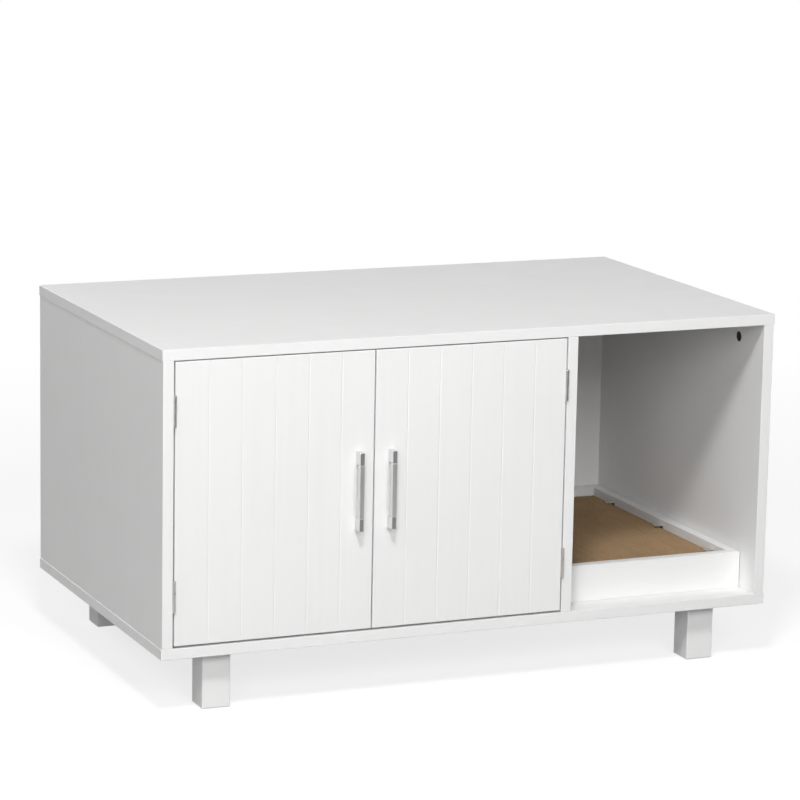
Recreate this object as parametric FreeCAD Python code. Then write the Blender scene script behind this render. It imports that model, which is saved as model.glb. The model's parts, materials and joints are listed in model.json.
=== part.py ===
import FreeCAD, Part

import os

from FreeCAD import Vector

# A low cabinet on four legs. Two inset doors close a bay for a litter box, and a doorway in
# the divider leads to it from the open bay on the right, where a pull-out tray holds a
# scratching pad. Sizes are in millimetres. x runs to the right, y to the back and z up.
# The floor is z = 0, and the origin is under the middle of the box around the whole cabinet.

# ---- Carcass ----
WIDTH = 900.0  # top and bottom panels, left to right
DEPTH = 530.0  # top and bottom panels, front to back
BODY_HEIGHT = 415.0  # underside of the bottom panel to the top of the cabinet
BOARD = 15.0  # carcass panels
SIDE_INSET = 1.0  # side panels stand in from the ends of the top and bottom panels
BAY_WIDTH = 287.0  # open bay, between divider and right side
BOARD_EASE = 0.8  # rounding of every board's edges
SHEET_THICKNESS = 5.0  # back panel
SHEET_SETBACK = 28.0  # rear edges of the carcass to the back panel's rear face
GROOVE_DEPTH = 5.0
GROOVE_PLAY = 0.3

# ---- Doorway in the divider ----
DOORWAY_WIDTH = 190.0
DOORWAY_HEIGHT = 230.0
DOORWAY_RADIUS = 60.0
DOORWAY_SILL = 13.0  # above the tray's top edge
DOORWAY_FROM_BACK = 192.0  # middle of the doorway to the back panel

# ---- Panel joints: cam disc, cam bolt and dowel ----
CAM_DIAMETER = 15.0
CAM_HOLE_DEPTH = 12.0
CAM_PLAY = 0.1
CAM_SUNK = 0.5  # cam disc's face below the board's face
CAM_FROM_END = 28.0  # middle of the cam to the end of the upright board
CAM_SETBACK = 72.0  # middle of the cam to the front or rear edge of the carcass
CAM_SLOT_WIDTH = 1.8
CAM_SLOT_DEPTH = 1.5
CAM_BOLT_DIAMETER = 6.0
CAM_BOLT_IN_PANEL = 10.0
CAM_BOLT_HOLE = 8.0
DOWEL_DIAMETER = 8.0
DOWEL_LENGTH = 30.0
DOWEL_IN_PANEL = 10.0
DOWEL_FROM_CAM = 40.0

# ---- Legs ----
LEG_HEIGHT = 80.0  # floor to the underside of the bottom panel
LEG_WIDTH = 40.0
LEG_EASE = 1.5
LEG_SIDE_INSET = 66.6
LEG_END_INSET = 25.0
LEG_BOLT_DIAMETER = 8.0
LEG_BOLT_IN_LEG = 32.0
INSERT_DIAMETER = 12.0
INSERT_LENGTH = 11.0
GLIDE_DIAMETER = 28.0
GLIDE_THICKNESS = 3.0
GLIDE_PROUD = 1.0
GLIDE_EASE = 0.6
GLIDE_PIN_DIAMETER = 3.0
GLIDE_PIN_LENGTH = 12.0

# ---- Doors ----
DOOR_BOARD = 15.0
DOOR_GAP = 2.0  # at each hinge
CENTRE_GAP = 2.0  # between the two doors
DOOR_TOP_GAP = 1.6
DOOR_BOTTOM_GAP = 3.0
PLANKS = 6
V_GROOVE_WIDTH = 2.4
V_GROOVE_DEPTH = 0.5

# ---- Butt hinges ----
HINGE_HEIGHT = 43.5  # over the pin's two heads
HINGE_FROM_TOP = 64.5  # middle of the upper hinge to the door's top end
HINGE_FROM_BOTTOM = 67.5  # middle of the lower hinge to the door's bottom end
AXIS_AHEAD = 2.3  # pin axis in front of the door's face
KNUCKLE_DIAMETER = 4.0
KNUCKLES = 5
KNUCKLE_PLAY = 0.3
PIN_DIAMETER = 1.8
PIN_PLAY = 0.05
PIN_HEAD_HEIGHT = 1.4
PIN_HEAD_EASE = 1.1
LEAF_THICKNESS = 0.9
LEAF_REACH = 12.5  # behind the door's face
LEAF_SUNK = 0.4  # each leaf is let into its board
LEAF_CLEAR = 0.3  # between a leaf and the other leaf's knuckles
POCKET_PLAY = 0.2
HINGE_SCREW_DIAMETER = 2.8
HINGE_SCREW_LENGTH = 11.5
HINGE_SCREW_SPACING = 24.0
HINGE_SCREW_SETBACK = 7.0  # behind the door's face

# ---- Handles ----
HANDLE_LENGTH = 107.5
HANDLE_WIDTH = 6.4
HANDLE_REACH = 16.0  # out from the door's face
HANDLE_FROM_GAP = 23.5  # middle of the handle to the middle of the gap between the doors
HANDLE_RISE = 1.5  # middle of the handle above the middle of the door
POST_HEIGHT = 17.5
POST_EASE = 0.7
BAR_THICKNESS = 9.0
BAR_EASE = 0.5
TENON_LENGTH = 5.0
TENON_SHARE = 0.5  # of the bar's width and thickness
HANDLE_SCREW_DIAMETER = 4.0
HANDLE_SCREW_GRIP = 9.0  # length in the post
HANDLE_SCREW_PLAY = 0.3
HANDLE_HEAD_DIAMETER = 8.0
HANDLE_HEAD_HEIGHT = 2.4

# ---- Magnetic catches ----
CATCH_FROM_GAP = 48.0  # middle of the catch to the middle of the gap between the doors
CATCH_WIDTH = 28.0
CATCH_HEIGHT = 16.0
CATCH_DEPTH = 14.0
CATCH_EASE = 0.8
EAR_WIDTH = 9.0
EAR_THICKNESS = 3.0
MAGNET_WIDTH = 22.0
MAGNET_HEIGHT = 7.0
MAGNET_DEPTH = 9.0
MAGNET_DROP = 10.0  # middle of the magnet below the top panel
MAGNET_PROUD = 0.4
CATCH_AIR = 0.3  # between magnet and strike plate
STRIKE_WIDTH = 30.0
STRIKE_HEIGHT = 11.0
STRIKE_THICKNESS = 1.2
CATCH_SCREW_DIAMETER = 3.0
CATCH_SCREW_LENGTH = 9.0  # in the wood
CATCH_HEAD_DIAMETER = 6.0
CATCH_HEAD_HEIGHT = 1.8

# ---- Scratching tray ----
TRAY_BOARD = 15.0
TRAY_HEIGHT = 52.0
TRAY_SETBACK = 43.0  # front edge of the carcass to the tray's front board
TRAY_SIDE_PLAY = 1.0
TRAY_REAR_PLAY = 2.0
BASE_THICKNESS = 5.0
BASE_RAISE = 5.0  # tray base above the bottom panel
BASE_GROOVE = 4.0
TRAY_DOWEL_DIAMETER = 6.0
TRAY_DOWEL_LENGTH = 24.0
TRAY_DOWEL_IN_FACE = 8.0  # length in the front or rear board
TRAY_DOWEL_DROP = 12.0  # upper dowel below the tray's top edge
TRAY_DOWEL_PITCH = 18.0
PAD_THICKNESS = 30.0
PAD_PLAY = 1.6  # pad to each tray board, and room for the clips' flanges
CLIPS_A_SIDE = 3
CLIP_FIRST = 39.0  # front board's inner face to the middle of the first clip
CLIP_PITCH = 158.0
CLIP_WIDTH = 10.0
CLIP_REACH = 12.0  # over the pad
CLIP_THICKNESS = 1.0
CLIP_LIFT = 3.0  # pad to the clip's underside
CLIP_FLANGE = 14.0  # height against the tray board, beside the pad
CLIP_SCREW_DIAMETER = 2.2
CLIP_SCREW_LENGTH = 8.0  # in the board

# ---- Cross recess in the round-headed screws ----
CROSS_SPAN = 0.6  # of the head's diameter
CROSS_WIDTH = 0.16  # of the head's diameter
CROSS_DEPTH = 0.5  # of the head's height

# ---- Places that follow ----
FRONT = (HANDLE_REACH - DEPTH) / 2
BACK = FRONT + DEPTH
BOTTOM_UNDER = LEG_HEIGHT
BOTTOM_TOP = BOTTOM_UNDER + BOARD
TOP_TOP = BOTTOM_UNDER + BODY_HEIGHT
TOP_UNDER = TOP_TOP - BOARD
SIDE_OUTER = WIDTH / 2 - SIDE_INSET
SIDE_INNER = SIDE_OUTER - BOARD
DIVIDER_RIGHT = SIDE_INNER - BAY_WIDTH
DIVIDER_LEFT = DIVIDER_RIGHT - BOARD
SHEET_BACK = BACK - SHEET_SETBACK
SHEET_FRONT = SHEET_BACK - SHEET_THICKNESS

DOOR_WIDTH = (DIVIDER_LEFT + SIDE_INNER - 2 * DOOR_GAP - CENTRE_GAP) / 2
DOOR_BOTTOM = BOTTOM_TOP + DOOR_BOTTOM_GAP
DOOR_TOP = TOP_UNDER - DOOR_TOP_GAP
DOOR_BACK = FRONT + DOOR_BOARD
GAP_MIDDLE = -SIDE_INNER + DOOR_GAP + DOOR_WIDTH + CENTRE_GAP / 2

TRAY_LEFT = DIVIDER_RIGHT + TRAY_SIDE_PLAY
TRAY_RIGHT = SIDE_INNER - TRAY_SIDE_PLAY
TRAY_FRONT = FRONT + TRAY_SETBACK
TRAY_REAR = SHEET_FRONT - TRAY_REAR_PLAY
TRAY_TOP = BOTTOM_TOP + TRAY_HEIGHT
BASE_TOP = BOTTOM_TOP + BASE_RAISE + BASE_THICKNESS
PAD_TOP = BASE_TOP + PAD_THICKNESS
CLIP_UNDER = PAD_TOP + CLIP_LIFT

X = Vector(1, 0, 0)
Y = Vector(0, 1, 0)
Z = Vector(0, 0, 1)

# The face that each door hangs on, and the way from that face across the door.
DOOR_SIDES = {"left": (-SIDE_INNER, 1), "right": (DIVIDER_LEFT, -1)}
# The two faces of each upright board, and the way that its cam holes open.
UPRIGHTS = {
    "left_side_panel": (-SIDE_OUTER, -SIDE_INNER, 1),
    "divider_panel": (DIVIDER_LEFT, DIVIDER_RIGHT, -1),
    "right_side_panel": (SIDE_INNER, SIDE_OUTER, -1),
}


# ---- Plain shapes ----
def block(x, y, z, ease=0.0):
    """A box between two values on each axis, with its edges rounded."""
    spans = [max(pair) - min(pair) for pair in (x, y, z)]
    box = Part.makeBox(*spans, Vector(min(x), min(y), min(z)))
    return box.makeFillet(ease, box.Edges) if ease else box


def rod(start, way, diameter, length):
    return Part.makeCylinder(diameter / 2, length, start, way)


def domed_rod(start, way, diameter, length, ease):
    """A short rod whose far rim is rounded."""
    stud = rod(start, way, diameter, length)
    far = start + way * length
    rim = [e for e in stud.Edges if (e.CenterOfMass - far).Length < ease / 100]
    return stud.makeFillet(ease, rim)


def pan_screw(seat, way, diameter, length, head_diameter, head_height):
    """A round-headed screw. Its shank runs from the seat along way, and its head sits back."""
    out = way * -1
    head = domed_rod(seat, out, head_diameter, head_height, head_height * 0.6)
    return head.cut(cross_recess(seat, out, head_diameter, head_height)).fuse(
        rod(seat, way, diameter, length)
    )


def cross_recess(seat, out, diameter, height):
    """Two crossing bars at the top of a screw's head."""
    deep = CROSS_DEPTH * height
    bars = []
    for turn in (0, 90):
        bar = Part.makeBox(CROSS_SPAN * diameter, CROSS_WIDTH * diameter, deep)
        bar.translate(Vector(-CROSS_SPAN * diameter / 2, -CROSS_WIDTH * diameter / 2, 0))
        bar.rotate(Vector(), Z, turn)
        bars.append(bar)
    recess = bars[0].fuse(bars[1])
    recess.Placement = FreeCAD.Placement(seat + out * (height - deep), FreeCAD.Rotation(Z, out))
    return recess


def flat_screw(seat, way, diameter, length, head_height):
    """A countersunk screw whose head's face lies at the seat."""
    top = diameter / 2 + head_height
    head = Part.makeCone(top, diameter / 2, head_height, seat, way)
    return head.fuse(rod(seat, way, diameter, length))


def save(node, shape):
    shape.exportStep(f"parts/{node}.step")


def save_group(node, solids):
    save(node, Part.makeCompound(solids))


# ---- Panel joints ----
def joint_places():
    """Each joint of an upright to the top or bottom panel.

    It gives the upright's middle, the y of the cam, the way to its dowel, the z of the
    upright's end, the way into the upright, its cam face and the way that the cam opens.
    """
    rows = [(FRONT + CAM_SETBACK, 1), (BACK - CAM_SETBACK, -1)]
    ends = [(BOTTOM_TOP, 1), (TOP_UNDER, -1)]
    places = []
    for low, high, opens in UPRIGHTS.values():
        face = high if opens > 0 else low
        for y, to_dowel in rows:
            for z, into in ends:
                places.append(((low + high) / 2, y, to_dowel, z, into, face, opens))
    return places


def cam_disc(place):
    x, y, _, z, into, face, opens = place
    middle = Vector(face - opens * CAM_HOLE_DEPTH, y, z + into * CAM_FROM_END)
    disc = rod(middle, X * opens, CAM_DIAMETER - 2 * CAM_PLAY, CAM_HOLE_DEPTH - CAM_SUNK)
    slot_start = Vector(x, y, middle.z + into * CAM_BOLT_HOLE / 2)
    disc = disc.cut(rod(slot_start, Z * -into, CAM_BOLT_HOLE, CAM_DIAMETER))
    top = face - opens * CAM_SUNK
    span = CAM_DIAMETER * 0.3
    for half_y, half_z in ((span, CAM_SLOT_WIDTH / 2), (CAM_SLOT_WIDTH / 2, span)):
        disc = disc.cut(
            block(
                (top, top - opens * CAM_SLOT_DEPTH),
                (y - half_y, y + half_y),
                (middle.z - half_z, middle.z + half_z),
            )
        )
    return disc


def cam_hole(place):
    _, y, _, z, into, face, opens = place
    return rod(Vector(face, y, z + into * CAM_FROM_END), X * -opens, CAM_DIAMETER, CAM_HOLE_DEPTH)


def cam_bolt(place):
    x, y, _, z, into, _, _ = place
    start = Vector(x, y, z - into * CAM_BOLT_IN_PANEL)
    return rod(start, Z * into, CAM_BOLT_DIAMETER, CAM_BOLT_IN_PANEL + CAM_FROM_END)


def cam_bolt_hole(place):
    x, y, _, z, into, _, _ = place
    return rod(Vector(x, y, z), Z * into, CAM_BOLT_HOLE, CAM_FROM_END)


def dowel(place):
    x, y, to_dowel, z, into, _, _ = place
    start = Vector(x, y + to_dowel * DOWEL_FROM_CAM, z - into * DOWEL_IN_PANEL)
    return rod(start, Z * into, DOWEL_DIAMETER, DOWEL_LENGTH)


def save_panel_joints():
    places = joint_places()
    save_group("cam_discs", [cam_disc(place) for place in places])
    save_group("cam_bolts", [cam_bolt(place) for place in places])
    save_group("panel_dowels", [dowel(place) for place in places])


# ---- Carcass ----
def back_sheet(play):
    """The back panel, standing in its grooves with this much play."""
    return block(
        (-SIDE_INNER - GROOVE_DEPTH + play, SIDE_INNER + GROOVE_DEPTH - play),
        (SHEET_FRONT, SHEET_BACK + GROOVE_PLAY - play),
        (BOTTOM_TOP - GROOVE_DEPTH, TOP_UNDER + GROOVE_DEPTH - play),
    )


def level_panel(under, over):
    """The top or the bottom panel, with its groove and joint holes."""
    panel = block((-WIDTH / 2, WIDTH / 2), (FRONT, BACK), (under, over), BOARD_EASE)
    holes = [back_sheet(0)]
    for place in joint_places():
        if under <= place[3] <= over:
            holes += [cam_bolt(place), dowel(place)]
    return panel.cut(holes)


def bottom_panel():
    panel = level_panel(BOTTOM_UNDER, BOTTOM_TOP)
    return panel.cut([insert_hole(x, y) for x, y in leg_places().values()])


def top_panel():
    return level_panel(TOP_UNDER, TOP_TOP).cut(catch_screws())


def upright(name, rear):
    """A side panel or the divider, with its joint holes."""
    low, high, _ = UPRIGHTS[name]
    board = block((low, high), (FRONT, rear), (BOTTOM_TOP, TOP_UNDER), BOARD_EASE)
    holes = []
    for place in joint_places():
        if low < place[0] < high:
            holes += [cam_hole(place), cam_bolt_hole(place), dowel(place)]
    return board.cut(holes)


def left_side_panel():
    return upright("left_side_panel", BACK).cut([back_sheet(0)] + frame_cuts("left"))


def right_side_panel():
    return upright("right_side_panel", BACK).cut(back_sheet(0))


def doorway():
    """The space of the pet doorway through the divider."""
    middle = SHEET_FRONT - DOORWAY_FROM_BACK
    sill = TRAY_TOP + DOORWAY_SILL
    hole = block(
        (DIVIDER_LEFT - BOARD, DIVIDER_RIGHT + BOARD),
        (middle - DOORWAY_WIDTH / 2, middle + DOORWAY_WIDTH / 2),
        (sill, sill + DOORWAY_HEIGHT),
    )
    along = [e for e in hole.Edges if abs(e.tangentAt(e.FirstParameter).x) > 0.9]
    return hole.makeFillet(DOORWAY_RADIUS, along)


def divider_panel():
    board = upright("divider_panel", SHEET_FRONT).cut(doorway())
    rims = [e for e in board.Edges if e.Length > 0 and on_doorway_rim(e)]
    board = board.makeFillet(BOARD_EASE, rims)
    return board.cut(frame_cuts("right"))


def on_doorway_rim(edge):
    """Whether an edge of the divider runs round the doorway, on either face."""
    box = edge.BoundBox
    middle = SHEET_FRONT - DOORWAY_FROM_BACK
    sill = TRAY_TOP + DOORWAY_SILL
    slack = BOARD_EASE / 4
    inside = (
        box.YMin > middle - DOORWAY_WIDTH / 2 - slack
        and box.YMax < middle + DOORWAY_WIDTH / 2 + slack
        and box.ZMin > sill - slack
        and box.ZMax < sill + DOORWAY_HEIGHT + slack
    )
    return inside and box.XLength < slack


def save_carcass():
    save("top_panel", top_panel())
    save("bottom_panel", bottom_panel())
    save("left_side_panel", left_side_panel())
    save("right_side_panel", right_side_panel())
    save("divider_panel", divider_panel())
    save("back_panel", back_sheet(GROOVE_PLAY))


# ---- Legs ----
def leg_places():
    """The middle of each leg."""
    x = WIDTH / 2 - LEG_SIDE_INSET - LEG_WIDTH / 2
    y_front = FRONT + LEG_END_INSET + LEG_WIDTH / 2
    y_rear = BACK - LEG_END_INSET - LEG_WIDTH / 2
    return {
        "front_left_leg": (-x, y_front),
        "front_right_leg": (x, y_front),
        "rear_left_leg": (-x, y_rear),
        "rear_right_leg": (x, y_rear),
    }


def insert_hole(x, y):
    return rod(Vector(x, y, LEG_HEIGHT), Z, INSERT_DIAMETER, INSERT_LENGTH)


def leg_bolt(x, y):
    length = LEG_BOLT_IN_LEG + INSERT_LENGTH
    return rod(Vector(x, y, LEG_HEIGHT - LEG_BOLT_IN_LEG), Z, LEG_BOLT_DIAMETER, length)


def leg_glide(x, y):
    """A round plastic foot let into the leg's end, with a pin in the wood."""
    disc = domed_rod(
        Vector(x, y, GLIDE_THICKNESS), Z * -1, GLIDE_DIAMETER, GLIDE_THICKNESS, GLIDE_EASE
    )
    pin = rod(Vector(x, y, GLIDE_THICKNESS), Z, GLIDE_PIN_DIAMETER, GLIDE_PIN_LENGTH)
    return disc.fuse(pin)


def leg(x, y):
    half = LEG_WIDTH / 2
    post = block((x - half, x + half), (y - half, y + half), (GLIDE_PROUD, LEG_HEIGHT), LEG_EASE)
    seat = rod(Vector(x, y, 0), Z, GLIDE_DIAMETER, GLIDE_THICKNESS)
    pin = rod(Vector(x, y, 0), Z, GLIDE_PIN_DIAMETER, GLIDE_THICKNESS + GLIDE_PIN_LENGTH)
    return post.cut([seat, pin, leg_bolt(x, y)])


def save_legs():
    places = leg_places()
    for node, (x, y) in places.items():
        save(node, leg(x, y))
    save_group("leg_bolts", [leg_bolt(x, y) for x, y in places.values()])
    save_group(
        "leg_inserts", [insert_hole(x, y).cut(leg_bolt(x, y)) for x, y in places.values()]
    )
    save_group("leg_glides", [leg_glide(x, y) for x, y in places.values()])


# ---- Butt hinges ----
def hinge_levels():
    """The middle height of a door's two hinges."""
    return {"upper": DOOR_TOP - HINGE_FROM_TOP, "lower": DOOR_BOTTOM + HINGE_FROM_BOTTOM}


def leaf_height():
    return HINGE_HEIGHT - 2 * PIN_HEAD_HEIGHT


def axis_point(side, z):
    face, way = DOOR_SIDES[side]
    return Vector(face + way * DOOR_GAP / 2, FRONT - AXIS_AHEAD, z)


def leaf_seat(side, on_door):
    """The x of the board's edge under a leaf, and the way that the leaf faces from it."""
    face, way = DOOR_SIDES[side]
    return (face + way * DOOR_GAP, -way) if on_door else (face, way)


def knuckle_span(index, middle):
    """The lower and upper z of one knuckle, with play between neighbours."""
    pitch = leaf_height() / KNUCKLES
    low = middle - leaf_height() / 2 + index * pitch
    below = KNUCKLE_PLAY / 2 if index > 0 else 0
    above = KNUCKLE_PLAY / 2 if index < KNUCKLES - 1 else 0
    return low + below, low + pitch - above


def knuckle_rod(side, middle, index, diameter, play):
    low, high = knuckle_span(index, middle)
    return rod(axis_point(side, low - play), Z, diameter, high - low + 2 * play)


def hinge_screws(side, middle, on_door):
    """The two countersunk screws of one leaf."""
    edge, out = leaf_seat(side, on_door)
    seat_x = edge + out * (LEAF_THICKNESS - LEAF_SUNK)
    screws = []
    for rise in (-HINGE_SCREW_SPACING / 2, HINGE_SCREW_SPACING / 2):
        seat = Vector(seat_x, FRONT + HINGE_SCREW_SETBACK, middle + rise)
        screws.append(
            flat_screw(
                seat, X * -out, HINGE_SCREW_DIAMETER, HINGE_SCREW_LENGTH, LEAF_THICKNESS
            )
        )
    return screws


def hinge_leaf(side, middle, on_door):
    """A flat leaf with its own knuckles, clear of the other leaf's knuckles."""
    edge, out = leaf_seat(side, on_door)
    half = leaf_height() / 2
    leaf = block(
        (edge - out * LEAF_SUNK, edge + out * (LEAF_THICKNESS - LEAF_SUNK)),
        (FRONT - AXIS_AHEAD, FRONT + LEAF_REACH),
        (middle - half, middle + half),
    )
    own = range(1 if on_door else 0, KNUCKLES, 2)
    others = range(0 if on_door else 1, KNUCKLES, 2)
    clear = KNUCKLE_DIAMETER + 2 * LEAF_CLEAR
    leaf = leaf.cut([knuckle_rod(side, middle, i, clear, KNUCKLE_PLAY) for i in others])
    leaf = leaf.fuse([knuckle_rod(side, middle, i, KNUCKLE_DIAMETER, 0) for i in own])
    bore = rod(
        axis_point(side, middle - half), Z, PIN_DIAMETER + 2 * PIN_PLAY, leaf_height()
    )
    return leaf.cut([bore] + hinge_screws(side, middle, on_door)).removeSplitter()


def leaf_pocket(side, middle, on_door):
    """What a leaf's recess takes from its board."""
    edge, out = leaf_seat(side, on_door)
    half = leaf_height() / 2 + POCKET_PLAY
    return block(
        (edge - out * LEAF_SUNK, edge + out * DOOR_GAP / 2),
        (FRONT - DOOR_GAP, FRONT + LEAF_REACH + POCKET_PLAY),
        (middle - half, middle + half),
    )


def hinge_pin(side, middle):
    """A pin with a domed head at each end."""
    half = leaf_height() / 2
    pin = rod(axis_point(side, middle - half), Z, PIN_DIAMETER, leaf_height())
    for way in (-1, 1):
        seat = axis_point(side, middle + way * half)
        head = domed_rod(seat, Z * way, KNUCKLE_DIAMETER, PIN_HEAD_HEIGHT, PIN_HEAD_EASE)
        pin = pin.fuse(head)
    return pin


def hinge_cuts(side, on_door):
    """Pockets and screw holes of a door's two hinges, in the door or in its frame."""
    cuts = []
    for middle in hinge_levels().values():
        cuts.append(leaf_pocket(side, middle, on_door))
        cuts += hinge_screws(side, middle, on_door)
    return cuts


def frame_cuts(side):
    return hinge_cuts(side, False)


def save_hinges():
    frame_screws = []
    for side in DOOR_SIDES:
        door_screws = []
        for level, middle in hinge_levels().items():
            name = f"{side}_{level}_hinge"
            save(f"{name}_frame_leaf", hinge_leaf(side, middle, False))
            save(f"{name}_door_leaf", hinge_leaf(side, middle, True))
            save(f"{name}_pin", hinge_pin(side, middle))
            frame_screws += hinge_screws(side, middle, False)
            door_screws += hinge_screws(side, middle, True)
        save_group(f"{side}_door_hinge_screws", door_screws)
    save_group("frame_hinge_screws", frame_screws)


# ---- Doors and handles ----
def v_groove(x):
    """A vertical V groove in the doors' front, between two planks."""
    half = V_GROOVE_WIDTH
    out = FRONT - V_GROOVE_DEPTH
    corners = [
        Vector(x - half, out, DOOR_BOTTOM),
        Vector(x + half, out, DOOR_BOTTOM),
        Vector(x, FRONT + V_GROOVE_DEPTH, DOOR_BOTTOM),
    ]
    outline = Part.makePolygon(corners + corners[:1])
    return Part.Face(outline).extrude(Z * (DOOR_TOP - DOOR_BOTTOM))


def door(side):
    face, way = DOOR_SIDES[side]
    near = face + way * DOOR_GAP
    leaf = block(
        (near, near + way * DOOR_WIDTH), (FRONT, DOOR_BACK), (DOOR_BOTTOM, DOOR_TOP), BOARD_EASE
    )
    plank = DOOR_WIDTH / PLANKS
    cuts = [v_groove(near + way * plank * count) for count in range(1, PLANKS)]
    cuts += hinge_cuts(side, True)
    cuts += [handle_hole(side, z) for z in post_levels().values()]
    cuts.append(strike_screw(side))
    return leaf.cut(cuts)


def handle_x(side):
    return GAP_MIDDLE - DOOR_SIDES[side][1] * HANDLE_FROM_GAP


def handle_middle():
    return (DOOR_BOTTOM + DOOR_TOP) / 2 + HANDLE_RISE


def post_levels():
    """The middle height of a handle's two end posts."""
    reach = (HANDLE_LENGTH - POST_HEIGHT) / 2
    return {"upper": handle_middle() + reach, "lower": handle_middle() - reach}


def handle_hole(side, z):
    hole = HANDLE_SCREW_DIAMETER + 2 * HANDLE_SCREW_PLAY
    return rod(Vector(handle_x(side), DOOR_BACK, z), Y * -1, hole, DOOR_BOARD)


def handle_screw(side, z):
    return pan_screw(
        Vector(handle_x(side), DOOR_BACK, z),
        Y * -1,
        HANDLE_SCREW_DIAMETER,
        DOOR_BOARD + HANDLE_SCREW_GRIP,
        HANDLE_HEAD_DIAMETER,
        HANDLE_HEAD_HEIGHT,
    )


def handle_bar(side):
    """The bar between the posts, with a tenon into each of them."""
    x = handle_x(side)
    front = FRONT - HANDLE_REACH
    half = HANDLE_LENGTH / 2 - POST_HEIGHT
    bar = block(
        (x - HANDLE_WIDTH / 2, x + HANDLE_WIDTH / 2),
        (front, front + BAR_THICKNESS),
        (handle_middle() - half, handle_middle() + half),
        BAR_EASE,
    )
    return bar.fuse(bar_tenons(side))


def bar_tenons(side):
    """One square rod through the bar and into both posts."""
    x = handle_x(side)
    y = FRONT - HANDLE_REACH + BAR_THICKNESS / 2
    half = HANDLE_LENGTH / 2 - POST_HEIGHT + TENON_LENGTH
    half_x = HANDLE_WIDTH * TENON_SHARE / 2
    half_y = BAR_THICKNESS * TENON_SHARE / 2
    return block(
        (x - half_x, x + half_x),
        (y - half_y, y + half_y),
        (handle_middle() - half, handle_middle() + half),
    )


def handle_post(side, z):
    x = handle_x(side)
    post = block(
        (x - HANDLE_WIDTH / 2, x + HANDLE_WIDTH / 2),
        (FRONT - HANDLE_REACH, FRONT),
        (z - POST_HEIGHT / 2, z + POST_HEIGHT / 2),
        POST_EASE,
    )
    return post.cut([bar_tenons(side), handle_screw(side, z)])


def save_doors():
    for side in DOOR_SIDES:
        save(f"{side}_door", door(side))
        save(f"{side}_handle_bar", handle_bar(side))
        for level, z in post_levels().items():
            save(f"{side}_handle_{level}_post", handle_post(side, z))
        screws = [handle_screw(side, z) for z in post_levels().values()]
        save_group(f"{side}_handle_screws", screws)


# ---- Magnetic catches ----
def catch_x(side):
    return GAP_MIDDLE - DOOR_SIDES[side][1] * CATCH_FROM_GAP


def magnet_front():
    return DOOR_BACK + STRIKE_THICKNESS + CATCH_AIR


def magnet(side):
    x = catch_x(side)
    z = TOP_UNDER - MAGNET_DROP
    return block(
        (x - MAGNET_WIDTH / 2, x + MAGNET_WIDTH / 2),
        (magnet_front(), magnet_front() + MAGNET_DEPTH),
        (z - MAGNET_HEIGHT / 2, z + MAGNET_HEIGHT / 2),
    )


def catch_housing(side):
    """The magnet's case, with an ear for a screw at each end."""
    x = catch_x(side)
    front = magnet_front() + MAGNET_PROUD
    half = CATCH_WIDTH / 2
    case = block(
        (x - half, x + half),
        (front, front + CATCH_DEPTH),
        (TOP_UNDER - CATCH_HEIGHT, TOP_UNDER),
        CATCH_EASE,
    )
    ears = block(
        (x - half - EAR_WIDTH, x + half + EAR_WIDTH),
        (front, front + CATCH_DEPTH),
        (TOP_UNDER - EAR_THICKNESS, TOP_UNDER),
        CATCH_EASE,
    )
    return case.fuse(ears).cut([magnet(side)] + catch_screws())


def catch_screws():
    """The screws through both catches' ears into the top panel."""
    y = magnet_front() + MAGNET_PROUD + CATCH_DEPTH / 2
    reach = (CATCH_WIDTH + EAR_WIDTH) / 2
    screws = []
    for side in DOOR_SIDES:
        for x in (catch_x(side) - reach, catch_x(side) + reach):
            screws.append(
                pan_screw(
                    Vector(x, y, TOP_UNDER - EAR_THICKNESS),
                    Z,
                    CATCH_SCREW_DIAMETER,
                    EAR_THICKNESS + CATCH_SCREW_LENGTH,
                    CATCH_HEAD_DIAMETER,
                    CATCH_HEAD_HEIGHT,
                )
            )
    return screws


def strike_screw(side):
    seat = Vector(catch_x(side), DOOR_BACK + STRIKE_THICKNESS, TOP_UNDER - MAGNET_DROP)
    length = STRIKE_THICKNESS + CATCH_SCREW_LENGTH
    return flat_screw(seat, Y * -1, CATCH_SCREW_DIAMETER, length, STRIKE_THICKNESS)


def strike_plate(side):
    x = catch_x(side)
    z = TOP_UNDER - MAGNET_DROP
    plate = block(
        (x - STRIKE_WIDTH / 2, x + STRIKE_WIDTH / 2),
        (DOOR_BACK, DOOR_BACK + STRIKE_THICKNESS),
        (z - STRIKE_HEIGHT / 2, z + STRIKE_HEIGHT / 2),
    )
    return plate.cut(strike_screw(side))


def save_catches():
    for side in DOOR_SIDES:
        save(f"{side}_catch_housing", catch_housing(side))
        save(f"{side}_strike_plate", strike_plate(side))
        save(f"{side}_strike_screw", strike_screw(side))
    save_group("catch_magnets", [magnet(side) for side in DOOR_SIDES])
    save_group("catch_screws", catch_screws())


# ---- Scratching tray ----
def tray_base():
    """The tray's bottom sheet, let into grooves in the four boards."""
    inset = TRAY_BOARD - BASE_GROOVE
    return block(
        (TRAY_LEFT + inset, TRAY_RIGHT - inset),
        (TRAY_FRONT + inset, TRAY_REAR - inset),
        (BOTTOM_TOP + BASE_RAISE, BASE_TOP),
    )


def tray_dowels():
    """Two dowels at each corner, from the front and rear boards into the side boards."""
    dowels = []
    for x in (TRAY_LEFT + TRAY_BOARD / 2, TRAY_RIGHT - TRAY_BOARD / 2):
        for joint, inward in ((TRAY_FRONT + TRAY_BOARD, 1), (TRAY_REAR - TRAY_BOARD, -1)):
            for drop in (TRAY_DOWEL_DROP, TRAY_DOWEL_DROP + TRAY_DOWEL_PITCH):
                start = Vector(x, joint - inward * TRAY_DOWEL_IN_FACE, TRAY_TOP - drop)
                dowels.append(rod(start, Y * inward, TRAY_DOWEL_DIAMETER, TRAY_DOWEL_LENGTH))
    return dowels


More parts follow.
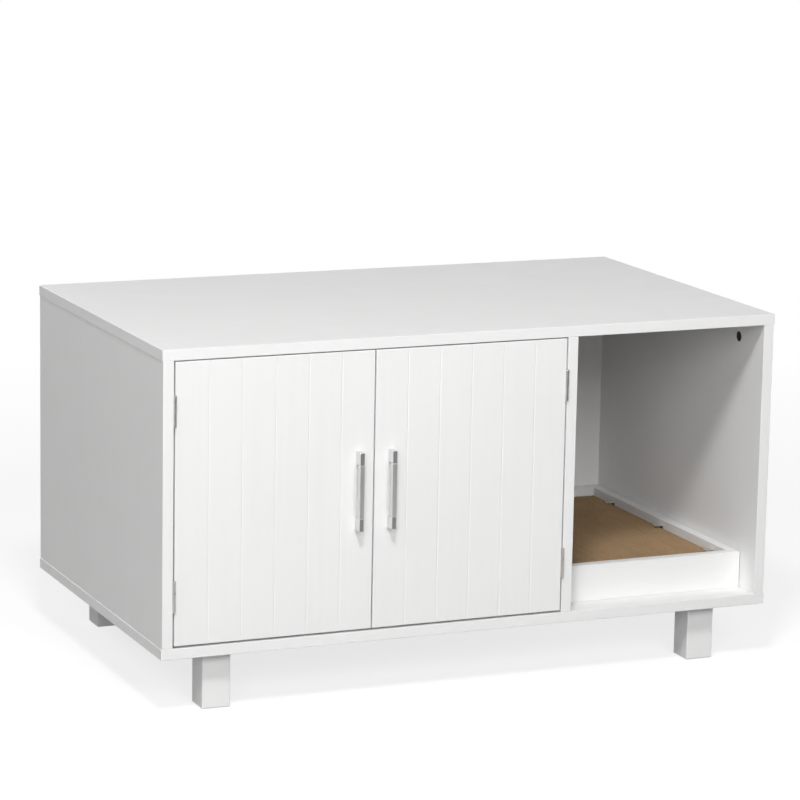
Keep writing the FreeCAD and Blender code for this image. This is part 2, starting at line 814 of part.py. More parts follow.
def tray_board(x, y, screws=()):
    board = block(x, y, (BOTTOM_TOP, TRAY_TOP), BOARD_EASE)
    return board.cut([tray_base()] + tray_dowels() + list(screws))


def scratch_pad():
    inset = TRAY_BOARD + PAD_PLAY
    return block(
        (TRAY_LEFT + inset, TRAY_RIGHT - inset),
        (TRAY_FRONT + inset, TRAY_REAR - inset),
        (BASE_TOP, PAD_TOP),
    )


def clip_places(wall, inward):
    """The wall's x, the way over the pad, and the y of each clip along one side board."""
    first = TRAY_FRONT + TRAY_BOARD + CLIP_FIRST
    return [(wall, inward, first + count * CLIP_PITCH) for count in range(CLIPS_A_SIDE)]


def left_clip_places():
    return clip_places(TRAY_LEFT + TRAY_BOARD, 1)


def right_clip_places():
    return clip_places(TRAY_RIGHT - TRAY_BOARD, -1)


def pad_clip(wall, inward, y):
    """A small angle: its flange between board and pad, its tab over the pad."""
    span = (y - CLIP_WIDTH / 2, y + CLIP_WIDTH / 2)
    top = CLIP_UNDER + CLIP_THICKNESS
    flange = block((wall, wall + inward * CLIP_THICKNESS), span, (top - CLIP_FLANGE, top))
    tab = block((wall, wall + inward * CLIP_REACH), span, (CLIP_UNDER, top))
    return flange.fuse(tab).cut(clip_screw(wall, inward, y)).removeSplitter()


def clip_screw(wall, inward, y):
    """A countersunk screw through the middle of the clip's flange, flush with its face."""
    seat = Vector(wall + inward * CLIP_THICKNESS, y, CLIP_UNDER - (CLIP_FLANGE - CLIP_THICKNESS) / 2)
    length = CLIP_THICKNESS + CLIP_SCREW_LENGTH
    return flat_screw(seat, X * -inward, CLIP_SCREW_DIAMETER, length, CLIP_THICKNESS)


def save_tray():
    across = (TRAY_LEFT, TRAY_RIGHT)
    along = (TRAY_FRONT + TRAY_BOARD, TRAY_REAR - TRAY_BOARD)
    left, right = left_clip_places(), right_clip_places()
    left_screws = [clip_screw(*place) for place in left]
    right_screws = [clip_screw(*place) for place in right]
    save("tray_front_board", tray_board(across, (TRAY_FRONT, along[0])))
    save("tray_rear_board", tray_board(across, (along[1], TRAY_REAR)))
    save("tray_left_board", tray_board((TRAY_LEFT, TRAY_LEFT + TRAY_BOARD), along, left_screws))
    save("tray_right_board", tray_board((TRAY_RIGHT - TRAY_BOARD, TRAY_RIGHT), along, right_screws))
    save("tray_base", tray_base())
    save_group("tray_dowels", tray_dowels())
    save("scratch_pad", scratch_pad())
    save_group("pad_clips", [pad_clip(*place) for place in left + right])
    save_group("pad_clip_screws", left_screws + right_screws)


os.makedirs("parts", exist_ok=True)
save_carcass()
save_panel_joints()
save_legs()
save_hinges()
save_doors()
save_catches()
save_tray()
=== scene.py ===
import json
import math
import random

import bpy
from mathutils import Matrix, Vector


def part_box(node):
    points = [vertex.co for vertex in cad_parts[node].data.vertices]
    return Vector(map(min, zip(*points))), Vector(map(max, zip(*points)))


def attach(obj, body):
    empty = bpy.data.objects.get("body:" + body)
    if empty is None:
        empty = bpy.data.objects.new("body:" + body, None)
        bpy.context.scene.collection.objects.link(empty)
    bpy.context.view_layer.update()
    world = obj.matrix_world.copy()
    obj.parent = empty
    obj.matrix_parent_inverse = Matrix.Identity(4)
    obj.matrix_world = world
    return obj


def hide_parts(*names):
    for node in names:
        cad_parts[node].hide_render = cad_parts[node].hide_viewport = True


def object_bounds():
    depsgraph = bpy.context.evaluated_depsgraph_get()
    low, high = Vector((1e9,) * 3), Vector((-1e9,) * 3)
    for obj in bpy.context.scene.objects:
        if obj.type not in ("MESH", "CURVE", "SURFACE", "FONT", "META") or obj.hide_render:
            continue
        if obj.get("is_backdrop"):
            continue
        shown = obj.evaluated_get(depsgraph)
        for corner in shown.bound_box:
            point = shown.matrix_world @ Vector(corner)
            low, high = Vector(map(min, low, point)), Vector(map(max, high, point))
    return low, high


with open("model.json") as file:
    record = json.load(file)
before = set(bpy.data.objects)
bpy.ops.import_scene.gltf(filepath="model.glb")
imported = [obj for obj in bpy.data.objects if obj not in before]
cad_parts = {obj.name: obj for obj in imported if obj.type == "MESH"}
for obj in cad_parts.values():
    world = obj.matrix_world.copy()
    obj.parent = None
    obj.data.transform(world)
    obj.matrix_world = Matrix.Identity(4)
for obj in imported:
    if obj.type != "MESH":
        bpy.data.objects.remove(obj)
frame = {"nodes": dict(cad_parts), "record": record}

# The looks of the litter box cabinet: its finishes, its corrugated scratching pad, the
# studio round it and the camera. Everything is in metres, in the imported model's frame.

MM = 0.001
CAD_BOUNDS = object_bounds()
NODES = frame["nodes"]

# ---- Camera, at the photograph's viewing angle ----
CAMERA_PLACE = Vector((-1.9066, -4.3928, 1.3171))
CAMERA_YAW = 23.416  # degrees to the right of straight ahead
CAMERA_PITCH = -11.395
CAMERA_ROLL = 1.070
FOCAL_PIXELS = 3454.7
IMAGE_PIXELS = 800
SENSOR = 36.0

# ---- Light ----
# Each softbox: degrees to the left of straight in front, degrees up, metres away, its
# width and height in metres, and its power in watts.
LAMPS = {
    "key_softbox": (26, 50, 3.2, (0.45, 0.45), 43),
    "front_softbox": (0, 25, 4.5, (2.0, 1.0), 55),
    "low_softbox": (23, 12, 5.0, (3.0, 1.6), 31),
    "left_softbox": (35, 20, 4.5, (1.5, 1.5), 34),
    "side_softbox": (60, 36, 5.0, (2.2, 1.1), 31),
    "right_softbox": (-90, 10, 4.0, (1.6, 1.2), 27),
    "rear_softbox": (174, 8, 4.0, (1.8, 1.2), 42),
}
LIT_POINT = Vector((0.0, 0.0, 0.28))
AMBIENT = 0.12
FLOOR_HALF = 30.0
FLOOR_ALBEDO = 0.30  # for light that bounces off the floor
FLOOR_GLOW = 0.74  # the shown floor glows under its paint: white, but it keeps shadows
FLOOR_PAINT = 0.34
SHADOW_NEAR = 1.1  # the paint fades out between these distances from the cabinet
SHADOW_FAR = 2.4
# A grey card in front of the cabinet, which only metal and gloss show.
CARD_LEFT = -0.75
CARD_RIGHT = 1.00
CARD_AHEAD = 0.90
CARD_FOOT = 0.002
CARD_HEIGHT = 0.60
CARD_GREY = 0.30
CARD_CLOTH = 0.1  # how far the cloth on it differs in tone, as a share

# ---- Corrugated pad ----
STRIPS = 62
FLUTE_PITCH = 7.3 * MM
FLUTE_STEPS = 8
FLUTE_THICKNESS = 0.32 * MM
LINER_THICKNESS = 0.62 * MM
LINER_STEP = 12 * MM
CUT_SPREAD = 0.35 * MM  # how far the strips' sawn edges differ in height
CUT_RIPPLE = CUT_SPREAD / 4  # and how uneven each of them is
LINER_WANDER = 0.12 * MM
PAD_SEED = 7


# ---- Node building ----
MIX_COLOUR_INPUTS = (6, 7)  # the mix node's sockets for colours, whose names aren't its own
MIX_COLOUR_OUTPUT = 2


def add(tree, kind, inputs=None, **settings):
    """Adds a shader node, sets its options, and sets or links its inputs."""
    node = tree.nodes.new(kind)
    for key, value in settings.items():
        setattr(node, key, value)
    for key, value in (inputs or {}).items():
        if isinstance(value, bpy.types.NodeSocket):
            tree.links.new(value, node.inputs[key])
        else:
            node.inputs[key].default_value = value
    return node


def new_finish(name, base, roughness, **sockets):
    """A material with its shader, and the constants on the shader's own sockets."""
    material = bpy.data.materials.new(name)
    material.use_nodes = True
    tree = material.node_tree
    shader = tree.nodes["Principled BSDF"]
    shader.inputs["Base Color"].default_value = (*base, 1.0)
    shader.inputs["Roughness"].default_value = roughness
    for key, value in sockets.items():
        shader.inputs[key.replace("_", " ")].default_value = value
    return material, tree, shader


def wire(tree, shader, paint, rough=None, normal=None):
    """Links a finish's colour, roughness and surface normal to its shader."""
    for value, socket in ((paint, "Base Color"), (rough, "Roughness"), (normal, "Normal")):
        if value is not None:
            tree.links.new(value, shader.inputs[socket])


def place(tree, scale=(1, 1, 1)):
    """The point on the piece, in metres, stretched by scale."""
    coordinate = add(tree, "ShaderNodeTexCoord")
    inputs = {"Vector": coordinate.outputs["Object"], "Scale": scale}
    return add(tree, "ShaderNodeMapping", inputs).outputs["Vector"]


def noise(tree, vector, scale, detail, roughness, distortion=0.0):
    """Soft noise from 0 to 1, with about scale patches in a metre."""
    inputs = {
        "Vector": vector,
        "Scale": scale,
        "Detail": detail,
        "Roughness": roughness,
        "Distortion": distortion,
    }
    return add(tree, "ShaderNodeTexNoise", inputs).outputs["Fac"]


def math_node(tree, operation, first, second=0.0):
    return add(tree, "ShaderNodeMath", {0: first, 1: second}, operation=operation).outputs[0]


def remap(tree, value, low, high, to_low, to_high):
    """Stretches low..high to to_low..to_high, and holds what lies outside."""
    inputs = {
        "Value": value,
        "From Min": low,
        "From Max": high,
        "To Min": to_low,
        "To Max": to_high,
    }
    return add(tree, "ShaderNodeMapRange", inputs).outputs["Result"]


def blend_colours(tree, share, first, second):
    """The first colour where share is 0, the second where it is 1."""
    node = add(tree, "ShaderNodeMix", {"Factor": share}, data_type="RGBA")
    for index, colour in zip(MIX_COLOUR_INPUTS, (first, second)):
        if isinstance(colour, bpy.types.NodeSocket):
            tree.links.new(colour, node.inputs[index])
        else:
            node.inputs[index].default_value = (*colour, 1.0)
    return node.outputs[MIX_COLOUR_OUTPUT]


def bump(tree, height, distance, strength, normal=None):
    inputs = {"Height": height, "Distance": distance, "Strength": strength}
    if normal is not None:
        inputs["Normal"] = normal
    return add(tree, "ShaderNodeBump", inputs).outputs["Normal"]


def shade(colour, amount):
    return tuple(channel * amount for channel in colour)


def stretch(along, long_scale, cross_scale):
    """A mapping scale that is long_scale on one axis and cross_scale on the others."""
    return tuple(long_scale if axis == along else cross_scale for axis in "xyz")


# ---- Painted and laminated boards ----
WHITE = (0.83, 0.83, 0.825)
BOARD_ROUGHNESS = 0.38
PAINT_ROUGHNESS = 0.42
BAND_THICKNESS = 1.0 * MM
SEAM_HALF_WIDTH = 0.04 * MM
SEAM_FADE_END = 0.12 * MM
SEAM_SHARE = 0.55
SEAM_TONE = 0.62


def board_finish(name, along, low=None, high=None, banded=""):
    """White laminate on a board: fine emboss along the grain, faint mottling and handling
    marks, and a hairline where the edge band on the banded axes meets the faces."""
    material, tree, shader = new_finish(name, WHITE, BOARD_ROUGHNESS, Specular_IOR_Level=0.42)
    grain = noise(tree, place(tree, stretch(along, 9, 240)), 1.0, 3, 0.6)
    pearl = noise(tree, place(tree), 620, 1, 0.4)
    clouds = noise(tree, place(tree), 3.2, 2, 0.5)
    marks = noise(tree, place(tree, stretch(along, 14, 38)), 1.0, 4, 0.65)
    slow = math_node(tree, "MULTIPLY", clouds, 0.6)
    fine = math_node(tree, "MULTIPLY", grain, 0.4)
    tone = remap(tree, math_node(tree, "ADD", slow, fine), 0.3, 0.7, 0.0, 1.0)
    paint = blend_colours(tree, tone, shade(WHITE, 0.985), shade(WHITE, 1.01))
    if banded:
        seam = band_seam(tree, low, high, banded)
        paint = blend_colours(tree, seam, paint, shade(WHITE, SEAM_TONE))
    rough = remap(tree, marks, 0.35, 0.75, BOARD_ROUGHNESS - 0.05, BOARD_ROUGHNESS + 0.09)
    normal = bump(tree, pearl, 0.02 * MM, 0.5)
    normal = bump(tree, grain, 0.03 * MM, 0.35, normal)
    wire(tree, shader, paint, rough, normal)
    return material


def band_seam(tree, low, high, axes):
    """A thin line just inside the edges on the given axes, where an edge band ends."""
    split = add(tree, "ShaderNodeSeparateXYZ", {"Vector": place(tree)})
    nearest = None
    for axis in axes:
        index = "xyz".index(axis)
        value = split.outputs[index]
        for edge in (low[index], high[index]):
            gap = math_node(tree, "ABSOLUTE", math_node(tree, "SUBTRACT", value, edge))
            nearest = gap if nearest is None else math_node(tree, "MINIMUM", nearest, gap)
    off_line = math_node(tree, "SUBTRACT", nearest, BAND_THICKNESS)
    off_line = math_node(tree, "ABSOLUTE", off_line)
    return remap(tree, off_line, SEAM_HALF_WIDTH, SEAM_FADE_END, SEAM_SHARE, 0.0)


def painted_finish(name, along):
    """Sprayed paint on fibreboard or solid wood: orange peel, faint grain telegraphing."""
    material, tree, shader = new_finish(name, WHITE, PAINT_ROUGHNESS, Specular_IOR_Level=0.4)
    peel = noise(tree, place(tree), 460, 2, 0.45)
    grain = noise(tree, place(tree, stretch(along, 5, 150)), 1.0, 4, 0.6, 0.3)
    clouds = noise(tree, place(tree), 4.5, 2, 0.5)
    tone = math_node(tree, "MULTIPLY", math_node(tree, "ADD", clouds, grain), 0.5)
    tone = remap(tree, tone, 0.32, 0.68, 0.0, 1.0)
    paint = blend_colours(tree, tone, shade(WHITE, 0.98), shade(WHITE, 1.01))
    rough = remap(tree, peel, 0.3, 0.7, PAINT_ROUGHNESS - 0.04, PAINT_ROUGHNESS + 0.06)
    normal = bump(tree, peel, 0.03 * MM, 0.5)
    normal = bump(tree, grain, 0.05 * MM, 0.4, normal)
    wire(tree, shader, paint, rough, normal)
    return material


def hardboard_finish():
    """Pressed brown fibreboard with short dark fibres."""
    colour = (0.27, 0.16, 0.085)
    material, tree, shader = new_finish("pressed_fibreboard", colour, 0.6)
    fibres = noise(tree, place(tree, (900, 260, 900)), 1.0, 5, 0.7, 1.2)
    clouds = noise(tree, place(tree), 26, 3, 0.6)
    tone = math_node(tree, "MULTIPLY", math_node(tree, "ADD", fibres, clouds), 0.5)
    tone = remap(tree, tone, 0.3, 0.7, 0.0, 1.0)
    paint = blend_colours(tree, tone, shade(colour, 0.62), shade(colour, 1.3))
    wire(tree, shader, paint, normal=bump(tree, fibres, 0.06 * MM, 0.6))
    return material


def beech_finish():
    """Turned beech with short flecks along the dowel."""
    colour = (0.60, 0.41, 0.25)
    material, tree, shader = new_finish("beech", colour, 0.55)
    flecks = noise(tree, place(tree, (700, 700, 90)), 1.0, 4, 0.6)
    rings = noise(tree, place(tree, (180, 180, 14)), 1.0, 3, 0.5, 0.8)
    fleck = remap(tree, flecks, 0.45, 0.72, 0, 1)
    paint = blend_colours(tree, fleck, shade(colour, 1.08), shade(colour, 0.55))
    paint = blend_colours(tree, remap(tree, rings, 0.3, 0.7, 0, 0.5), paint, shade(colour, 0.8))
    wire(tree, shader, paint, normal=bump(tree, flecks, 0.08 * MM, 0.5))
    return material


# ---- Metals ----
PLAIN_BRUSHING = 0.003 * MM  # the depth of the brush lines on hinges and plates
FINE_BRUSHING = 0.001 * MM  # and on the handles
STRIKE_GREY = (0.50, 0.50, 0.50)
CLIP_THICKNESS = 1.0 * MM
CLIP_EDGE_LOW = 0.05 * MM  # the change from the flange's painted shade to nickel, below and above the tab's foot
CLIP_EDGE_HIGH = 0.15 * MM


def brushed_metal(name, colour, roughness, along, depth):
    """Metal with fine brush lines of the given depth along one axis, and slight smudges."""
    material, tree, shader = new_finish(name, colour, roughness, Metallic=1.0)
    brush = noise(tree, place(tree, stretch(along, 6, 1400)), 1.0, 2, 0.5)
    smudge = noise(tree, place(tree), 60, 3, 0.5)
    line = remap(tree, brush, 0.35, 0.65, 0, 1)
    paint = blend_colours(tree, line, shade(colour, 0.95), shade(colour, 1.03))
    lines = remap(tree, brush, 0.3, 0.7, -0.03, 0.03)
    smears = remap(tree, smudge, 0.35, 0.7, roughness - 0.02, roughness + 0.04)
    rough = math_node(tree, "ADD", lines, smears)
    wire(tree, shader, paint, rough, bump(tree, brush, depth, 0.6))
    return material


def polished_metal(name, colour, roughness):
    """Plated metal: a smooth skin with a slow ripple and a little haze."""
    material, tree, shader = new_finish(name, colour, roughness, Metallic=1.0)
    ripple = noise(tree, place(tree), 130, 2, 0.5)
    haze = noise(tree, place(tree), 420, 4, 0.7)
    veil = remap(tree, haze, 0.35, 0.7, 0, 1)
    paint = blend_colours(tree, veil, shade(colour, 1.02), shade(colour, 0.94))
    rough = remap(tree, haze, 0.3, 0.75, roughness * 0.8, roughness * 1.4)
    wire(tree, shader, paint, rough, bump(tree, ripple, 0.02 * MM, 0.5))
    return material


def clip_finish():
    """Bright nickel on a pad clip's tab, and the flange under it painted near black as painted shade
    of the gap under the tab.
    """
    nickel, flange_shade = (0.86, 0.85, 0.82), (0.07, 0.065, 0.06)
    material, tree, shader = new_finish("clip_nickel", nickel, 0.34, Metallic=1.0)
    haze = noise(tree, place(tree), 420, 4, 0.7)
    veil = remap(tree, haze, 0.35, 0.7, 0, 1)
    bright = blend_colours(tree, veil, nickel, shade(nickel, 0.92))
    # painted shade: the flange under the tab is coloured near black
    dark = blend_colours(tree, veil, flange_shade, shade(flange_shade, 1.6))
    height = add(tree, "ShaderNodeSeparateXYZ", {"Vector": place(tree)}).outputs[2]
    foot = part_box("pad_clips")[1].z - CLIP_THICKNESS
    on_tab = remap(tree, height, foot - CLIP_EDGE_LOW, foot + CLIP_EDGE_HIGH, 0, 1)
    paint = blend_colours(tree, on_tab, dark, bright)
    wire(tree, shader, paint, remap(tree, haze, 0.3, 0.75, 0.28, 0.42))
    return material


def cast_metal(name, colour, roughness):
    """Die-cast or turned metal with a grainy, patchy skin."""
    material, tree, shader = new_finish(name, colour, roughness, Metallic=1.0)
    grit = noise(tree, place(tree), 1500, 3, 0.6)
    patches = noise(tree, place(tree), 160, 3, 0.6)
    patch = remap(tree, patches, 0.35, 0.7, 0, 1)
    paint = blend_colours(tree, patch, shade(colour, 1.15), shade(colour, 0.7))
    rough = remap(tree, patches, 0.3, 0.7, roughness - 0.08, roughness + 0.12)
    wire(tree, shader, paint, rough, bump(tree, grit, 0.05 * MM, 0.5))
    return material


# ---- Plastics and magnet ----
def moulded_plastic(name, colour, roughness):
    """Moulded plastic with a fine spark texture."""
    material, tree, shader = new_finish(name, colour, roughness, Specular_IOR_Level=0.45)
    spark = noise(tree, place(tree), 1300, 3, 0.6)
    flow = noise(tree, place(tree), 60, 2, 0.5)
    stream = remap(tree, flow, 0.3, 0.7, 0, 1)
    paint = blend_colours(tree, stream, shade(colour, 0.93), shade(colour, 1.05))
    rough = remap(tree, spark, 0.3, 0.7, roughness - 0.05, roughness + 0.08)
    wire(tree, shader, paint, rough, bump(tree, spark, 0.04 * MM, 0.6))
    return material


def ferrite_finish():
    """Dull sintered ferrite with tiny pits."""
    colour = (0.05, 0.05, 0.055)
    material, tree, shader = new_finish("ferrite", colour, 0.62)
    pits = noise(tree, place(tree), 1800, 3, 0.7)
    paint = blend_colours(tree, remap(tree, pits, 0.55, 0.75, 0, 1), colour, shade(colour, 0.4))
    wire(tree, shader, paint, normal=bump(tree, pits, 0.08 * MM, 0.7))
    return material


# ---- Corrugated board ----
KRAFT = (0.48, 0.325, 0.185)
FLUTE_PAINTED_SHADE = 0.9  # painted shade: the flutes are coloured a little darker than the liners, as if they lay a little deeper


def kraft_finish(name, colour, strip_width):
    """Kraft paper: fibres, strips that differ in tone, and pale furry sawn edges on top."""
    material, tree, shader = new_finish(name, colour, 0.85, Specular_IOR_Level=0.2)
    fibres = noise(tree, place(tree, (700, 260, 260)), 1.0, 5, 0.7, 0.8)
    clouds = noise(tree, place(tree), 34, 3, 0.6)
    split = add(tree, "ShaderNodeSeparateXYZ", {"Vector": place(tree)})
    row = math_node(tree, "FLOOR", math_node(tree, "DIVIDE", split.outputs[0], strip_width))
    strip = add(tree, "ShaderNodeTexWhiteNoise", {"W": row}, noise_dimensions="1D").outputs["Value"]
    tone = math_node(tree, "MULTIPLY", math_node(tree, "ADD", fibres, clouds), 0.5)
    tone = remap(tree, tone, 0.3, 0.7, 0, 1)
    paint = blend_colours(tree, tone, shade(colour, 0.8), shade(colour, 1.12))
    paint = blend_colours(tree, remap(tree, strip, 0, 1, 0, 0.35), paint, shade(colour, 0.72))
    facing = add(tree, "ShaderNodeNewGeometry").outputs["Normal"]
    facing = add(tree, "ShaderNodeSeparateXYZ", {"Vector": facing})
    edge = remap(tree, facing.outputs[2], 0.6, 0.9, 0.0, 0.75)
    paint = blend_colours(tree, edge, paint, shade(colour, 1.22))
    fuzz = noise(tree, place(tree), 2600, 3, 0.7)
    wire(tree, shader, paint, normal=bump(tree, fuzz, 0.12 * MM, 0.7))
    return material


def ribbon(verts, faces, line, thickness, low, tops):
    """Adds a closed upright ribbon of the given thickness along a line in plan.

    tops holds the height of the ribbon's upper edge at each of the line's points.
    """
    start = len(verts)
    last = len(line) - 1
    for index, (point, top) in enumerate(zip(line, tops)):
        before, after = line[max(index - 1, 0)], line[min(index + 1, last)]
        along = Vector((after[0] - before[0], after[1] - before[1])).normalized()
        side = Vector((-along.y, along.x)) * thickness / 2
        for way, height in ((-1, low), (1, low), (1, top), (-1, top)):
            verts.append((point[0] + way * side.x, point[1] + way * side.y, height))
    for index in range(last):
        ring, following = start + 4 * index, start + 4 * (index + 1)
        for corner in range(4):
            beside = (corner + 1) % 4
            faces.append((ring + corner, ring + beside, following + beside, following + corner))
    faces.append((start + 3, start + 2, start + 1, start))
    end = start + 4 * last
    faces.append((end, end + 1, end + 2, end + 3))


def mesh_piece(name, verts, faces, finish):
    mesh = bpy.data.meshes.new(name)
    mesh.from_pydata(verts, [], faces)
    mesh.validate()
    mesh.materials.append(finish)
    piece = bpy.data.objects.new(name, mesh)
    bpy.context.scene.collection.objects.link(piece)
    return piece


def sawn_tops(chance, cut, line):
    """The heights of a strip's sawn edge, which is a little uneven about its cut."""
    return [cut - chance.random() * CUT_RIPPLE for _ in line]


def liner_strips(chance, low, high, width):
    """The flat liners, each with a slight sway, as vertices and faces."""
    verts, faces = [], []
    length = high.y - low.y
    steps = round(length / LINER_STEP)
    for index in range(STRIPS + 1):
        x = low.x + LINER_THICKNESS / 2 + index * width
        cut = high.z - chance.random() * CUT_SPREAD
        inner = 0 < index < STRIPS
        sway = [chance.uniform(-1, 1) * LINER_WANDER * inner for _ in range(steps + 1)]
        line = [(x + sway[k], low.y + length * k / steps) for k in range(steps + 1)]
        ribbon(verts, faces, line, LINER_THICKNESS, low.z, sawn_tops(chance, cut, line))
    return verts, faces


def flute_strips(chance, low, high, width):
    """The wavy sheets between the liners, as vertices and faces."""
    verts, faces = [], []
    length = high.y - low.y
    points = round(length / FLUTE_PITCH * FLUTE_STEPS)
    reach = (width - LINER_THICKNESS - FLUTE_THICKNESS) / 2
    for index in range(STRIPS):
        middle = low.x + LINER_THICKNESS / 2 + (index + 0.5) * width
        phase = chance.random() * math.tau
        cut = high.z - chance.random() * CUT_SPREAD
        line = []
        for k in range(points + 1):
            y = low.y + length * k / points
            wave = math.sin(math.tau * (y - low.y) / FLUTE_PITCH + phase)
            line.append((middle + reach * wave, y))
        ribbon(verts, faces, line, FLUTE_THICKNESS, low.z, sawn_tops(chance, cut, line))
    return verts, faces


def corrugated_pad():
    """Strips of corrugated board on edge, glued side by side along the tray."""
    chance = random.Random(PAD_SEED)
    low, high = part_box("scratch_pad")
    width = (high.x - low.x - LINER_THICKNESS) / STRIPS
    liners = liner_strips(chance, low, high, width)
    flutes = flute_strips(chance, low, high, width)
    for name, (verts, faces), colour in (
        ("pad_liners", liners, KRAFT),
        # painted shade on the flutes
        ("pad_flutes", flutes, shade(KRAFT, FLUTE_PAINTED_SHADE)),
    ):
        piece = mesh_piece(name, verts, faces, kraft_finish(name + "_kraft", colour, width))
        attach(piece, "scratching_tray")
        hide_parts("scratch_pad")


# ---- Finishes on the CAD nodes ----
LEVEL_BOARDS = ("top_panel", "bottom_panel")
UPRIGHT_BOARDS = ("left_side_panel", "right_side_panel", "divider_panel")
CROSS_TRAY_BOARDS = ("tray_front_board", "tray_rear_board")


def board_for(node):
    """The laminate on one board, with its grain along the board and its edges banded."""
    low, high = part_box(node)
    if node in LEVEL_BOARDS:
        return board_finish(node + "_laminate", "x", low, high, "xy")
    if node in UPRIGHT_BOARDS:
        return board_finish(node + "_laminate", "z", low, high, "y")
    along = "x" if node in CROSS_TRAY_BOARDS else "y"
    return board_finish(node + "_laminate", along, low, high, "z")


def finishes():
    """The finish of each material slot, for the nodes without one of their own."""
    return {
        "white_sheet": board_finish("sheet_laminate", "z"),
        "white_door": painted_finish("door_paint", "z"),
        "white_leg": painted_finish("leg_paint", "z"),
        "hardboard": hardboard_finish(),
        "dowel_beech": beech_finish(),
        "corrugated_card": kraft_finish("card_block", KRAFT, FLUTE_PITCH),
        "hinge_steel": brushed_metal("hinge_nickel", (0.47, 0.46, 0.445), 0.28, "z", PLAIN_BRUSHING),
        "fastener_steel": cast_metal("zinc_plate", (0.50, 0.50, 0.49), 0.34),
        "strike_steel": brushed_metal("strike_plate_steel", STRIKE_GREY, 0.33, "x", PLAIN_BRUSHING),
        "clip_steel": clip_finish(),
        "handle_satin": brushed_metal("handle_satin", (0.70, 0.70, 0.69), 0.31, "z", FINE_BRUSHING),
        "handle_chrome": polished_metal("handle_chrome_plate", (0.72, 0.72, 0.72), 0.12),
        # painted shade: the cams and their bolts are coloured near black for the shade in their
        # recesses
        "cam_zinc": cast_metal("cam_zinc_painted_shade", (0.10, 0.10, 0.10), 0.45),
        "catch_plastic": moulded_plastic("catch_housing_plastic", (0.72, 0.72, 0.70), 0.42),
        "magnet_ferrite": ferrite_finish(),
        "glide_plastic": moulded_plastic("glide_grey_plastic", (0.20, 0.20, 0.20), 0.5),
    }


def dress_nodes():
    """Gives each node the finish of its slot, or for a board its own laminate."""
    by_slot = finishes()
    for row in frame["record"]["subparts"]:
        node, slot = row["node"], row["material_slot"]
        finish = by_slot[slot] if slot in by_slot else board_for(node)
        for material_slot in NODES[node].material_slots:
            material_slot.material = finish


# ---- Studio ----
def softbox(name, left, up, distance, size, power):
    """A softbox that faces the cabinet."""
    lamp = bpy.data.lights.new(name, "AREA")
    lamp.shape = "RECTANGLE"
    lamp.size, lamp.size_y = size
    lamp.energy = power
    holder = bpy.data.objects.new(name, lamp)
    bpy.context.scene.collection.objects.link(holder)
    left, up = math.radians(left), math.radians(up)
    out = Vector((-math.sin(left) * math.cos(up), -math.cos(left) * math.cos(up), math.sin(up)))
    holder.location = LIT_POINT + out * distance
    holder.rotation_euler = out.to_track_quat("Z", "Y").to_euler()


def seen_directly(tree):
    """1 for a ray from the camera or by way of metal or glass, and 0 for a ray of light."""
    path = add(tree, "ShaderNodeLightPath")
    seen = math_node(tree, "MAXIMUM", path.outputs["Is Camera Ray"], path.outputs["Is Glossy Ray"])
    return math_node(tree, "MAXIMUM", seen, path.outputs["Is Transmission Ray"])


def studio_world():
    """A white background, which lights the cabinet only faintly."""
    world = bpy.data.worlds.new("studio")
    world.use_nodes = True
    tree = world.node_tree
    tree.nodes.clear()
    white = add(tree, "ShaderNodeBackground", {"Color": (1, 1, 1, 1), "Strength": 1.0})
    ambient = add(tree, "ShaderNodeBackground", {"Color": (1, 1, 1, 1), "Strength": AMBIENT})
    inputs = {0: seen_directly(tree), 1: ambient.outputs[0], 2: white.outputs[0]}
    mix = add(tree, "ShaderNodeMixShader", inputs)
    add(tree, "ShaderNodeOutputWorld", {"Surface": mix.outputs[0]})
    bpy.context.scene.world = world


def floor_finish():
    """A pale floor that the camera sees as white, darker only where the object shades it."""
    material = bpy.data.materials.new("studio_floor")
    material.use_nodes = True
    tree = material.node_tree
    tree.nodes.clear()
    lit = add(tree, "ShaderNodeBsdfDiffuse", {"Color": (FLOOR_ALBEDO,) * 3 + (1,)})
    glow = add(tree, "ShaderNodeEmission", {"Color": (1, 1, 1, 1), "Strength": FLOOR_GLOW})
    paint = add(tree, "ShaderNodeBsdfDiffuse", {"Color": (FLOOR_PAINT,) * 3 + (1,)})
    near = add(tree, "ShaderNodeAddShader", {0: glow.outputs[0], 1: paint.outputs[0]})
    far = add(tree, "ShaderNodeEmission", {"Color": (1, 1, 1, 1), "Strength": 1.0})
    away = add(tree, "ShaderNodeVectorMath", {0: place(tree)}, operation="LENGTH").outputs["Value"]
    fade = remap(tree, away, SHADOW_NEAR, SHADOW_FAR, 0.0, 1.0)
    shown = add(tree, "ShaderNodeMixShader", {0: fade, 1: near.outputs[0], 2: far.outputs[0]})
    inputs = {0: seen_directly(tree), 1: lit.outputs[0], 2: shown.outputs[0]}
    mix = add(tree, "ShaderNodeMixShader", inputs)
    add(tree, "ShaderNodeOutputMaterial", {"Surface": mix.outputs[0]})
    return material


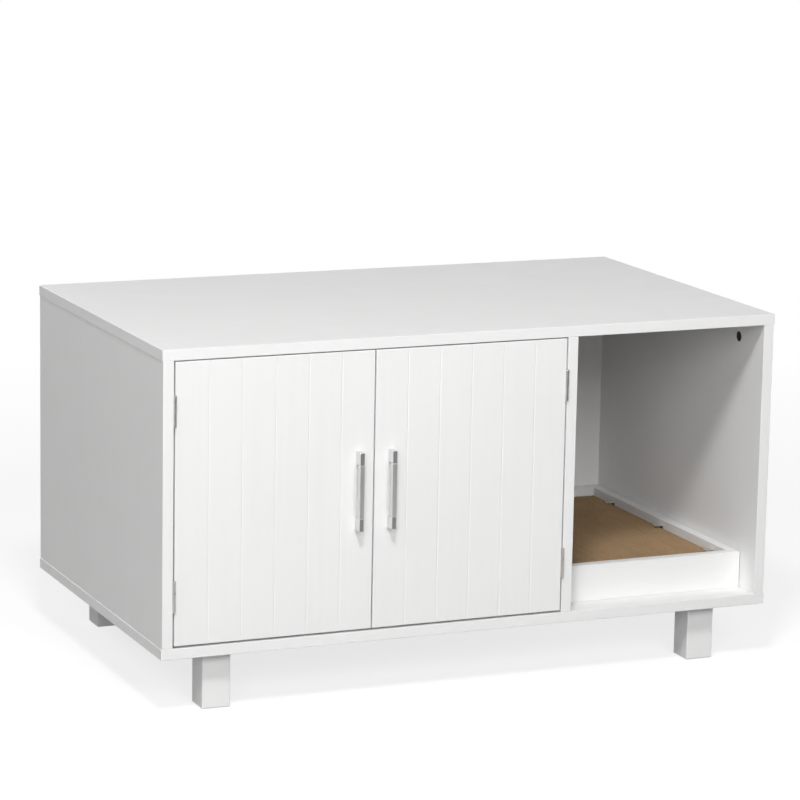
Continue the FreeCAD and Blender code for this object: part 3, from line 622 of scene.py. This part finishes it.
def studio_floor():
    edge = FLOOR_HALF
    corners = [(-edge, -edge, 0), (edge, -edge, 0), (edge, edge, 0), (-edge, edge, 0)]
    floor = mesh_piece("studio_floor", corners, [(0, 1, 2, 3)], floor_finish())
    floor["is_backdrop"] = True


def grey_card():
    """A card that gives bright metal a dark side to show, as in a product studio."""
    corners = [
        (CARD_LEFT, -CARD_AHEAD, CARD_FOOT),
        (CARD_RIGHT, -CARD_AHEAD, CARD_FOOT),
        (CARD_RIGHT, -CARD_AHEAD, CARD_HEIGHT),
        (CARD_LEFT, -CARD_AHEAD, CARD_HEIGHT),
    ]
    material = bpy.data.materials.new("grey_card")
    material.use_nodes = True
    tree = material.node_tree
    tree.nodes.clear()
    cloth = noise(tree, place(tree), 40, 3, 0.6)
    pale, dark = CARD_GREY * (1 + CARD_CLOTH), CARD_GREY * (1 - CARD_CLOTH)
    grey = remap(tree, cloth, 0.3, 0.7, dark, pale)
    glow = add(tree, "ShaderNodeEmission", {"Strength": grey})
    add(tree, "ShaderNodeOutputMaterial", {"Surface": glow.outputs[0]})
    card = mesh_piece("grey_card", corners, [(0, 1, 2, 3)], material)
    card.visible_camera = False
    card.visible_diffuse = False
    card.visible_shadow = False
    card.visible_transmission = False
    card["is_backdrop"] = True


def photo_camera():
    """The camera, turned by its yaw, pitch and roll."""
    yaw, pitch, roll = map(math.radians, (CAMERA_YAW, CAMERA_PITCH, CAMERA_ROLL))
    flat = math.cos(pitch)
    ahead = Vector((math.sin(yaw) * flat, math.cos(yaw) * flat, math.sin(pitch)))
    level = Vector((math.cos(yaw), -math.sin(yaw), 0))
    right = math.cos(roll) * level + math.sin(roll) * level.cross(ahead)
    up = right.cross(ahead)
    camera = bpy.data.cameras.new("photo_camera")
    camera.sensor_width = SENSOR
    camera.lens = FOCAL_PIXELS / IMAGE_PIXELS * SENSOR
    camera.clip_end = 2 * FLOOR_HALF
    holder = bpy.data.objects.new("photo_camera", camera)
    bpy.context.scene.collection.objects.link(holder)
    turn = Matrix((right, up, -ahead)).transposed().to_4x4()
    holder.matrix_world = Matrix.Translation(CAMERA_PLACE) @ turn
    bpy.context.scene.camera = holder


def write_sizes():
    """Works out the box of the solids and the box of the dressed model."""
    rows = {"cad_low": list(CAD_BOUNDS[0]), "cad_high": list(CAD_BOUNDS[1])}
    low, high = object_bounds()
    rows["visual_low"], rows["visual_high"] = list(low), list(high)


bpy.context.scene.view_settings.view_transform = "Standard"
dress_nodes()
corrugated_pad()
for lamp_name, lamp_values in LAMPS.items():
    softbox(lamp_name, *lamp_values)
studio_world()
studio_floor()
grey_card()
photo_camera()
write_sizes()
